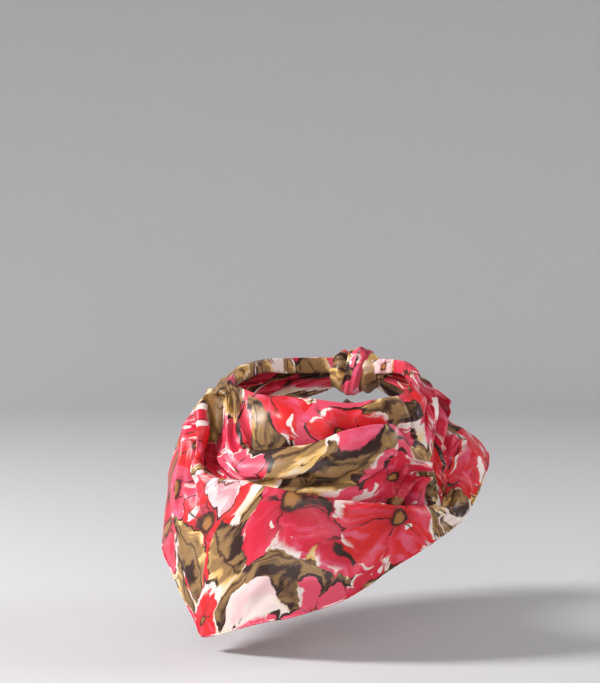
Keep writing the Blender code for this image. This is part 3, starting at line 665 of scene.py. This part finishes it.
def flower_group():
    """Five broad petals round each motif's middle: the petal's edge lies at 0.66, plus 0.34 times
    the square root of the size of the cosine of two and a half times the angle. Dark brush lines
    part the petals, the throat is umber and ochre, and pale edges and an outline come and go."""
    tree, given, result = new_group("painted_flowers", {
        "Place": "Vector", "Under": "Color", "Spacing": "Float", "Reach": "Float",
        "Shift": "Vector", "Share": "Float", "Streaks": "Float", "Blots": "Float"})
    place, under, spacing, reach, shift, flowering, streaks, blots = given
    x, y, turn, size, kind = scattered(tree, place, spacing, shift)
    reach = times(tree, reach, calc(tree, "MULTIPLY_ADD", size, 0.35, 0.82))
    squares = calc(tree, "ADD", times(tree, x, x), times(tree, y, y))
    radius = calc(tree, "DIVIDE", calc(tree, "SQRT", squares), reach)
    angle = calc(tree, "MULTIPLY_ADD", turn, FULL_TURN, calc(tree, "ARCTAN2", y, x))
    lobes = calc(tree, "ABSOLUTE", calc(tree, "COSINE", times(tree, angle, 2.5)))
    edge = calc(tree, "MULTIPLY_ADD", calc(tree, "POWER", lobes, 0.5), 0.34, 0.66)
    share = calc(tree, "DIVIDE", radius, edge)
    chosen = calc(tree, "LESS_THAN", kind, flowering)
    petals = times(tree, step(tree, share, 1.0, 0.97), chosen)

    inks = add_node(tree, "ShaderNodeValToRGB", {0: calc(tree, "DIVIDE", kind, flowering)})
    inks.color_ramp.interpolation = "CONSTANT"
    for at, ink in ((0, CRIMSON), (0.38, ROSE), (0.5, SCARLET), (0.78, CRIMSON), (0.95, PALE_PINK)):
        inks.color_ramp.elements.new(at).color = ink
    inks.color_ramp.elements.remove(inks.color_ramp.elements[-1])
    # brush strokes from the middle outwards, streaks across them, and a deeper middle
    spokes = {0: times(tree, angle, 1.7), 1: times(tree, radius, 0.8)}
    spokes = add_node(tree, "ShaderNodeCombineXYZ", spokes)
    brushed = noise(tree, spokes.outputs[0], 0.8, 3.0)
    colour = painted(tree, inks.outputs[0], ROSE, step(tree, brushed, 0.48, 0.72), 0.65)
    colour = painted(tree, colour, PINK, step(tree, streaks, 0.55, 0.75), 0.4)
    colour = painted(tree, colour, DEEP_CRIMSON, step(tree, share, 0.55, 0.15), 0.55)
    # pale ragged edges, and pale blots within
    edges = step(tree, share, 0.84, 0.95)
    colour = painted(tree, colour, WHITE, edges, step(tree, blots, 0.50, 0.54))
    within = step(tree, share, 0.3, 0.4)
    colour = painted(tree, colour, WHITE, within, step(tree, blots, 0.665, 0.68))
    # the lines that part the petals, and the throat
    parting = times(tree, step(tree, lobes, 0.20, 0.06), step(tree, share, 0.95, 0.45))
    colour = painted(tree, colour, UMBER, parting, step(tree, streaks, 0.34, 0.42))
    colour = painted(tree, colour, UMBER, step(tree, radius, 0.23, 0.15))
    colour = painted(tree, colour, OCHRE, step(tree, radius, 0.15, 0.08), 0.8)
    # the outline lies just outside the petals
    outline = step(tree, share, 1.12, 1.07)
    under = painted(tree, under, UMBER, outline, step(tree, blots, 0.50, 0.46), chosen)
    tree.links.new(painted(tree, under, colour, petals), result.inputs["Color"])
    return tree


def leaf_group():
    """A bowed brush stroke in each cell, turned its own way: inside where the square of its share
    of the length plus its share of the width is under 1. It runs from umber through olive and gold
    to cream across, with a dark vein and an umber rim that comes and goes."""
    tree, given, result = new_group("brushed_leaves", {
        "Place": "Vector", "Under": "Color", "Spacing": "Float", "Length": "Float",
        "Width": "Float", "Shift": "Vector", "Share": "Float", "Streaks": "Float"})
    place, under, spacing, full_length, full_width, shift, growing, streaks = given
    x, y, turn, size, kind = scattered(tree, place, spacing, shift)
    angle = times(tree, turn, FULL_TURN)
    cosine, sine = calc(tree, "COSINE", angle), calc(tree, "SINE", angle)
    along = calc(tree, "ADD", times(tree, x, cosine), times(tree, y, sine))
    aside = calc(tree, "SUBTRACT", times(tree, y, cosine), times(tree, x, sine))
    along = calc(tree, "DIVIDE", along, full_length)
    square = times(tree, along, along)
    bow = times(tree, calc(tree, "SUBTRACT", size, 0.5), times(tree, square, 1.6))
    aside = calc(tree, "ADD", bow, calc(tree, "DIVIDE", aside, full_width))
    share = calc(tree, "ADD", square, calc(tree, "ABSOLUTE", aside))
    chosen = calc(tree, "LESS_THAN", kind, growing)
    leaves = times(tree, step(tree, share, 1.0, 0.93), chosen)

    streaked = times(tree, calc(tree, "SUBTRACT", streaks, 0.5), 1.5)
    blend = calc(tree, "ADD", streaked, calc(tree, "MULTIPLY_ADD", aside, 0.45, 0.45))
    inks = add_node(tree, "ShaderNodeValToRGB", {0: blend})
    for at, ink in ((0.12, UMBER), (0.34, OLIVE), (0.62, OLIVE), (0.80, GOLD)):
        inks.color_ramp.elements.new(at).color = ink
    inks.color_ramp.elements[0].color = UMBER
    inks.color_ramp.elements[-1].color = CREAM
    vein = step(tree, calc(tree, "ABSOLUTE", aside), 0.10, 0.04)
    colour = painted(tree, inks.outputs[0], UMBER, vein, step(tree, share, 0.95, 0.6), 0.75)
    rim = step(tree, share, 0.80, 0.90)
    colour = painted(tree, colour, UMBER, rim, step(tree, streaks, 0.54, 0.46))
    tree.links.new(painted(tree, under, colour, leaves), result.inputs["Color"])
    return tree


# How the brush wanders. Columns: grain of the noise (mm), how far it moves the print (mm), detail
BRUSH_WANDERS = ((75, 26, 1.0), (20, 6.5, 1.0), (4.2, 1.6, 2.0))
STREAK_GRAIN, BLOT_GRAIN, WASH_GRAIN = 30 * MM, 24 * MM, 45 * MM
STREAK_TURN, STREAK_STRETCH = (0, 0, 0.6), (1, 3.2, 1)
TWILL_SIZE = 4.2 * MM           # of the wave texture, which has about two ridges in that length
SLUB_GRAIN = 2.5 * MM
RELIEF_HEIGHT, RELIEF_STRENGTH = 0.2 * MM, 0.10
SMOOTHEST, SLUBS_ROUGHEN = 0.30, 0.16
SURFACE = {"Sheen Weight": 0.02, "Sheen Roughness": 0.35, "Specular IOR Level": 0.30}


def painted_silk():
    """Silk twill: the print in the cloth's own places, a soft sheen, and fine ridges."""
    material = bpy.data.materials.new("printed_silk")
    material.use_nodes = True
    tree = material.node_tree
    shader = tree.nodes["Principled BSDF"]
    flat_place = add_node(tree, "ShaderNodeUVMap", uv_map="cloth").outputs[0]
    place = flat_place
    for grain, reach, detail in BRUSH_WANDERS:
        place = moved(tree, place, noise(tree, flat_place, grain * MM, detail, "Color"), reach * MM)
    stretched = add_node(tree, "ShaderNodeMapping", {0: place, 2: STREAK_TURN, 3: STREAK_STRETCH})
    streaks = noise(tree, stretched.outputs[0], STREAK_GRAIN, 3.0)
    blots = noise(tree, place, BLOT_GRAIN)

    ground = add_node(tree, "ShaderNodeValToRGB", {0: noise(tree, place, WASH_GRAIN)})
    for at, ink in ((0.34, GOLD), (0.42, CREAM), (0.50, WHITE), (0.58, WHITE), (0.66, PALE_PINK)):
        ground.color_ramp.elements.new(at).color = ink
    ground.color_ramp.elements[0].color = OCHRE
    ground.color_ramp.elements[-1].color = MAUVE
    colour = painted(tree, ground.outputs[0], CREAM, step(tree, streaks, 0.60, 0.72), 0.6)

    # Layers from the ground up: motif, spacing (mm), shift of the scatter, share of the cells that
    # hold one, and its sizes as shares of the spacing
    leaves, flowers = leaf_group(), flower_group()
    for motif, spacing, shift, share, sizes in (
            (leaves, 88, (0.31, 0.12, 0), 0.90, {"Length": 0.62, "Width": 0.34}),
            (leaves, 60, (0.93, 0.57, 0), 0.50, {"Length": 0.66, "Width": 0.26}),
            (flowers, 105, (0.71, 0.36, 0), 0.75, {"Reach": 0.50, "Blots": blots}),
            (leaves, 95, (0.55, 0.21, 0), 0.45, {"Length": 0.58, "Width": 0.28}),
            (flowers, 112, (0.46, 0.83, 0), 0.64, {"Reach": 0.50, "Blots": blots}),
            (leaves, 82, (0.15, 0.41, 0), 0.62, {"Length": 0.60, "Width": 0.20}),
            (flowers, 90, (0.37, 0.66, 0), 0.35, {"Reach": 0.30, "Blots": blots})):
        inputs = {"Place": place, "Under": colour, "Streaks": streaks, "Spacing": spacing * MM,
                  "Shift": shift, "Share": share, **sizes}
        colour = add_node(tree, "ShaderNodeGroup", inputs, node_tree=motif).outputs["Color"]
    tree.links.new(colour, shader.inputs["Base Color"])

    inputs = {"Vector": flat_place, "Scale": 1 / TWILL_SIZE, "Distortion": 0.3, "Detail": 0.0}
    twill = add_node(tree, "ShaderNodeTexWave", inputs, wave_type="BANDS",
                     bands_direction="DIAGONAL")
    slubs = noise(tree, flat_place, SLUB_GRAIN)
    height = calc(tree, "MULTIPLY_ADD", twill.outputs["Fac"], 0.5, slubs)
    relief = {"Height": height, "Strength": RELIEF_STRENGTH, "Distance": RELIEF_HEIGHT}
    tree.links.new(add_node(tree, "ShaderNodeBump", relief).outputs[0], shader.inputs["Normal"])
    roughness = calc(tree, "MULTIPLY_ADD", slubs, SLUBS_ROUGHEN, SMOOTHEST)
    tree.links.new(roughness, shader.inputs["Roughness"])
    for name, value in SURFACE.items():
        shader.inputs[name].default_value = value
    return material


silk = painted_silk()


def finish_cloth(piece, *nodes):
    """Gives a piece the silk and ties it to the frame."""
    piece.data.materials.append(silk)
    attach(piece, "root")
    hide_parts(*nodes)


finish_cloth(cowl, "neck_roll", "cowl_fold", "right_nape_band", "left_nape_band")
finish_cloth(bib, "bib", "right_shoulder_drape", "left_shoulder_drape")

# ----------------------------------------------------------------------
# The under layer
# The square's other corner, which lies close behind the bib. It ends a little higher, and shows
# beside the point, where it slips down.
# ----------------------------------------------------------------------
UNDER_LAYER_GAP = 2.6 * MM      # behind the bib
UNDER_LAYER_STATIONS = (3, 10)
UNDER_LAYER_SHORT = 3.0 * MM    # above the bib's edge
UNDER_LAYER_SHOWS = 9.0 * MM    # how far it slips down beside the point
UNDER_LAYER_TOP = CHEST + 0.5
SLIP_STATION, SLIP_WIDTH = 4.85, 0.45
UNDER_LAYER_PRINT = (0.35, 0.02)        # this far from the first layer's print, in metres

first, last = np.searchsorted(stations, np.array(UNDER_LAYER_STATIONS) + (-1e-6, 1e-6))
top = np.argmin(abs(lines - UNDER_LAYER_TOP))
layer = (creased - grid_normals(creased) * UNDER_LAYER_GAP)[first:last, top:]
down = (layer[:, -1] - layer[:, -2]) / length(layer[:, -1] - layer[:, -2])
beside_point = np.exp(-((stations[first:last] - SLIP_STATION) / SLIP_WIDTH) ** 2)
to_edge = np.linspace(0, 1, layer.shape[1]) ** 2
slip = (UNDER_LAYER_SHOWS * beside_point - UNDER_LAYER_SHORT)[:, None] * to_edge
layer = layer + down[:, None] * slip[..., None]
layer_flat = flat_cloth[first:last, top:] * (-1, 1) + UNDER_LAYER_PRINT
under_layer = cloth_object("under_layer_cloth", layer, layer_flat, SILK_THICKNESS / 2)
finish_cloth(under_layer, "bib_under_layer")

# ----------------------------------------------------------------------
# The rolled hem
# All four edges of the square are rolled by hand and whipped with silk thread, which draws the
# roll in at each stitch.
# ----------------------------------------------------------------------
HEM_RADIUS = 0.85 * MM
HEM_STITCH = 6.0 * MM
HEM_SIDES = 10
HEM_STEP = 0.8 * MM             # from ring to ring
STITCH_DRAWS, STITCH_WIDTH = 0.20, 0.9 * MM     # share of the radius, and along the roll
HEM_TAPER = 2 * MM              # at both ends


def closed_surface(name, points, flat, joined=False):
    """A tube of quads over a grid of rings, whose last point repeats the first. Its ends are
    capped or, where the last ring repeats the first, joined."""
    rings, count = points.shape[0] - joined, points.shape[1] - 1
    steps = points.shape[0] - 1
    i, j = np.meshgrid(range(steps), range(count), indexing="ij")
    i, j = i.ravel()[:, None] + (0, 0, 1, 1), j.ravel()[:, None] + (0, 1, 1, 0)
    faces = ((i % rings) * count + j % count).tolist()
    uvs = [flat[i, j].reshape(-1, 2)]
    if not joined:
        faces += [list(range(count))[::-1], list(range(steps * count, rings * count))]
        uvs += [flat[0, :count][::-1], flat[-1, :count]]
    return smooth_mesh(name, points[:rings, :count], faces, np.concatenate(uvs))


def rolled_hem(name, path, flat, out):
    """A thin roll along a path: a ring in the plane across the path at each of its points, drawn
    in by a bell curve once a stitch, and by a square root of the distance from both ends."""
    along = np.gradient(path, axis=0)
    along /= length(along)
    out = out - np.sum(out * along, axis=-1, keepdims=True) * along
    out /= length(out)
    side = np.cross(along, out)
    run = run_lengths(path, 0)
    drawn = 1 - STITCH_DRAWS * np.exp(-(((run % HEM_STITCH) - HEM_STITCH / 2) / STITCH_WIDTH) ** 2)
    fade = np.sqrt(np.clip(np.minimum(run, run[-1] - run) / HEM_TAPER, 0.02, 1))
    turns = np.linspace(0, 2 * math.pi, HEM_SIDES + 1)
    radius = (HEM_RADIUS * drawn * fade)[:, None, None]
    cosine, sine = np.cos(turns)[None, :, None], np.sin(turns)[None, :, None]
    ring = cosine * out[:, None] + sine * side[:, None]
    around = flat[:, None] + np.stack([0 * turns, turns * HEM_RADIUS], axis=-1)[None]
    return closed_surface(name, path[:, None] + radius * ring, around)


def hem_along(name, path, flat, out):
    """A rolled hem along an edge, whose places, flat places and outward ways are read anew at
    even distances."""
    run = run_lengths(path, 0)
    at = np.linspace(0, run[-1], int(run[-1] / HEM_STEP))
    return rolled_hem(name, *(np.stack([np.interp(at, run, column) for column in values.T], axis=-1)
                              for values in (path, flat, out)))


normals = grid_normals(creased)
bib_hem = hem_along("bib_hem", creased[:, -1], flat_cloth[:, -1], normals[:, -1])
under_hem = hem_along("under_layer_hem", layer[:, -1], layer_flat[:, -1], normals[first:last, -1])
finish_cloth(bib_hem)
finish_cloth(under_hem)

# ----------------------------------------------------------------------
# The tails
# The two loose corners of the square, gathered where they leave the knot and rippled across.
# ----------------------------------------------------------------------
# Columns: share of the length, X, Y and Z of the middle, half width, ripple height (mm)
TAIL_LEFT = [
    (0.0, 21, 96, 33, 6, 1.5), (0.3, 40, 106, 27, 10, 2.5), (0.65, 64, 101, 20, 12, 2.0),
    (1.0, 83, 88, 14, 9, 1.0),
]
TAIL_RIGHT = [
    (0.0, -6, 92, 18, 6, 1.5), (0.3, -15, 103, 2, 12, 2.5), (0.65, -31, 112, -20, 15, 2.5),
    (1.0, -46, 116, -42, 5, 0.5),
]


def tail_grid(table, width_direction, columns=90, rows=48):
    """A strip along the table's middle line, as wide as it says, with a wave across its width and
    finer pleats across it that die out away from the knot."""
    values = table_curve(table, np.linspace(0, 1, columns)) * MM
    middle, half, ripple = values[:, None, :3], values[:, None, 3:4], values[:, None, 4:5]
    across = np.linspace(-1, 1, rows)[None, :, None]
    away = np.linspace(0, 1, columns)[:, None, None]
    gathered = 0.6 * (1 - away) ** 2 * np.sin(11 * across)
    wave = ripple * (np.sin(1.5 * math.pi * across + 2 * away) + gathered)
    return middle + np.array(width_direction) * half * across + outward(middle) * wave


# Columns: name, its table, the way of its width, and the place of its print
for name, table, direction, shift in (
        ("left_tail", TAIL_LEFT, (0.1, 0.0, 0.99), (0.52, 0.30)),
        ("right_tail", TAIL_RIGHT, (0.90, 0.0, -0.43), (-0.50, 0.34))):
    grid = tail_grid(table, direction)
    flat = np.stack([run_lengths(grid, 0), run_lengths(grid, 1)], axis=-1) + shift
    tail = cloth_object(name + "_cloth", grid, flat, SILK_THICKNESS)
    finish_cloth(tail, name)
    # the hem goes round three sides, from the knot out and back
    border, border_flat, border_out = (
        np.concatenate([values[:, 0], values[-1, 1:-1], values[::-1, -1]])
        for values in (grid, flat, grid_normals(grid)))
    tail_hem = hem_along(name + "_hem", border, border_flat, border_out)
    finish_cloth(tail_hem)

# ----------------------------------------------------------------------
# The knot
# The two ends of the band are tied once over each other at the nape. One end wraps the other,
# and the cloth is gathered tight where it goes in.
# ----------------------------------------------------------------------
KNOT_CENTRE = np.array([0.0, 82.5, 46.0]) * MM
# Half sizes in mm. A core's are those of its waist, and how much it swells beside the wrap.
CORE_LENGTH = 21
CORE_DEPTH, CORE_HEIGHT = (7.5, 5.5), (12.0, 6.0)
SWELL_PLACE, SWELL_WIDTH = 0.55, 0.3            # shares of the half length
WRAP_DEPTH, WRAP_HEIGHT = 12.5, 17.5
WRAP_WIDTH, WRAP_THICKNESS, WRAP_TILT = 10.0, 3.0, 5.0

# The core: gathered cloth along X, ellipses that swell beside the wrap, with fine pleats
run, turns = np.meshgrid(np.linspace(-1, 1, 120), np.linspace(0, 2 * math.pi, 181), indexing="ij")
swell = np.exp(-((abs(run) - SWELL_PLACE) / SWELL_WIDTH) ** 2)
pleats = (0.7 * np.sin(6 * turns + 1.8 * run + 0.5)
          + 0.45 * np.sin(11 * turns + 2.4 * np.sin(3 * run))
          + 0.25 * np.sin(17 * turns - 3 * run))
depth = CORE_DEPTH[0] + CORE_DEPTH[1] * swell + pleats
height = CORE_HEIGHT[0] + CORE_HEIGHT[1] * swell + pleats
core_points = np.stack([run * CORE_LENGTH, depth * np.sin(turns), height * np.cos(turns)], axis=-1)
core_flat = np.stack([0.7 + run * CORE_LENGTH * MM, turns * 0.02], axis=-1)
core = closed_surface("knot_core", core_points * MM + KNOT_CENTRE, core_flat)
finish_cloth(core, "knot")

# The wrap: a pleated band round the core, tilted, thickest behind
turns, across = np.meshgrid(np.linspace(0, 2 * math.pi, 181), np.linspace(0, 2 * math.pi, 73),
                            indexing="ij")
fold = 0.9 * np.cos(3 * across + 1.1 * np.sin(turns)) + 0.5 * np.cos(7 * across - turns)
half_width = WRAP_WIDTH + 2.2 * np.cos(turns - 1.2)
thick = WRAP_THICKNESS + 0.8 * np.sin(turns)
outwards = (thick + fold * np.clip(np.cos(across) + 0.3, 0, 1)) * np.cos(across)
sideways = half_width * np.sin(across) + WRAP_TILT * np.cos(turns + 0.4)
wrap_points = np.stack([sideways, (WRAP_DEPTH + outwards) * np.sin(turns),
                        (WRAP_HEIGHT + outwards) * np.cos(turns)], axis=-1) * MM
wrap_flat = np.stack([-0.75 + across * 0.006, turns * 0.018], axis=-1)
wrap = closed_surface("knot_wrap", wrap_points + KNOT_CENTRE, wrap_flat, joined=True)
finish_cloth(wrap)

# ----------------------------------------------------------------------
# The stage
# A plain pale floor that curves up far away all round, three soft lamps, and a camera to the
# wearer's left of the front, a little above the neck.
# ----------------------------------------------------------------------
FLOOR_HEIGHT = -0.162
FLOOR_RADIUS = 1.6              # flat as far as this, then it curves up
FLOOR_RISE = 1.9                # the curve's width, and half the height of its quarter ellipse
FLOOR_CURVE = 0.96              # square of the share of the ellipse's width that it takes
FLOOR_COLOUR = (0.60, 0.59, 0.60, 1)
CAMERA_AZIMUTH = math.radians(20)
CAMERA_ELEVATION = math.radians(5)
CAMERA_DISTANCE = 1.70
PIXELS_PER_METRE = 1200
IMAGE_HEIGHT = 683
ORIGIN_LEFT_OF_MIDDLE = -24     # pixels
ORIGIN_BELOW_MIDDLE = 94.5      # pixels
WORLD_COLOUR, WORLD_STRENGTH = (0.86, 0.87, 0.90, 1), 0.20

away, turns = np.meshgrid(np.linspace(0.02, FLOOR_RADIUS + FLOOR_RISE, 50),
                          np.linspace(0, 2 * math.pi, 72, endpoint=False), indexing="ij")
curve = np.clip((away - FLOOR_RADIUS) / FLOOR_RISE, 0, 1)
height = FLOOR_HEIGHT + 2 * FLOOR_RISE * (1 - np.sqrt(1 - FLOOR_CURVE * curve ** 2))
places = np.stack([away * np.cos(turns), away * np.sin(turns), height], axis=-1)
around = away.shape[1]
i, j = np.meshgrid(np.arange(len(away) - 1), np.arange(around), indexing="ij")
here, beside = (i * around + j).ravel(), (i * around + (j + 1) % around).ravel()
faces = np.stack([here, here + around, beside + around, beside], axis=-1).tolist()
floor = smooth_mesh("floor", places, faces + [list(range(around))])
paint = bpy.data.materials.new("pale_floor")
paint.use_nodes = True
paint.node_tree.nodes["Principled BSDF"].inputs["Base Color"].default_value = FLOOR_COLOUR
paint.node_tree.nodes["Principled BSDF"].inputs["Roughness"].default_value = 0.8
floor.data.materials.append(paint)


def aim(obj, place, target):
    """Puts a lamp or camera at a place, looking at a target, with its top up."""
    back = np.array(place, float) - np.array(target, float)
    back /= np.linalg.norm(back)
    right = np.cross((0, 0, 1), back)
    right /= np.linalg.norm(right)
    up = np.cross(back, right)
    turned = np.eye(4)
    turned[:3, 0], turned[:3, 1], turned[:3, 2], turned[:3, 3] = right, up, back, place
    obj.matrix_world = Matrix(turned.tolist())


# Columns: name, place, diameter, watts
for name, place, size, power in (
        ("key", (-1.60, -0.85, 1.20), 0.6, 62),
        ("fill", (0.5, -2.0, 0.7), 1.4, 15),
        ("edge", (1.5, 0.7, 1.0), 0.8, 14)):
    lamp = bpy.data.lights.new(name, "AREA")
    lamp.shape = "DISK"
    lamp.size = size
    lamp.energy = power
    aim(new_object(name, lamp), place, (0, 0, 0))

world = bpy.data.worlds.new("soft_room")
world.use_nodes = True
world.node_tree.nodes["Background"].inputs["Color"].default_value = WORLD_COLOUR
world.node_tree.nodes["Background"].inputs["Strength"].default_value = WORLD_STRENGTH
bpy.context.scene.world = world
bpy.context.scene.view_settings.view_transform = "Standard"

lens = bpy.data.cameras.new("camera")
lens.sensor_fit = "VERTICAL"
lens.sensor_height = 36
lens.lens = CAMERA_DISTANCE * PIXELS_PER_METRE / IMAGE_HEIGHT * lens.sensor_height
camera = new_object("camera", lens)
right = np.array([math.cos(CAMERA_AZIMUTH), math.sin(CAMERA_AZIMUTH), 0])
back = np.array([right[1], -right[0], 0]) * math.cos(CAMERA_ELEVATION)
back[2] = math.sin(CAMERA_ELEVATION)
shift = right * ORIGIN_LEFT_OF_MIDDLE + np.cross(back, right) * ORIGIN_BELOW_MIDDLE
place = back * CAMERA_DISTANCE + shift / PIXELS_PER_METRE
aim(camera, place, place - back)
bpy.context.scene.camera = camera
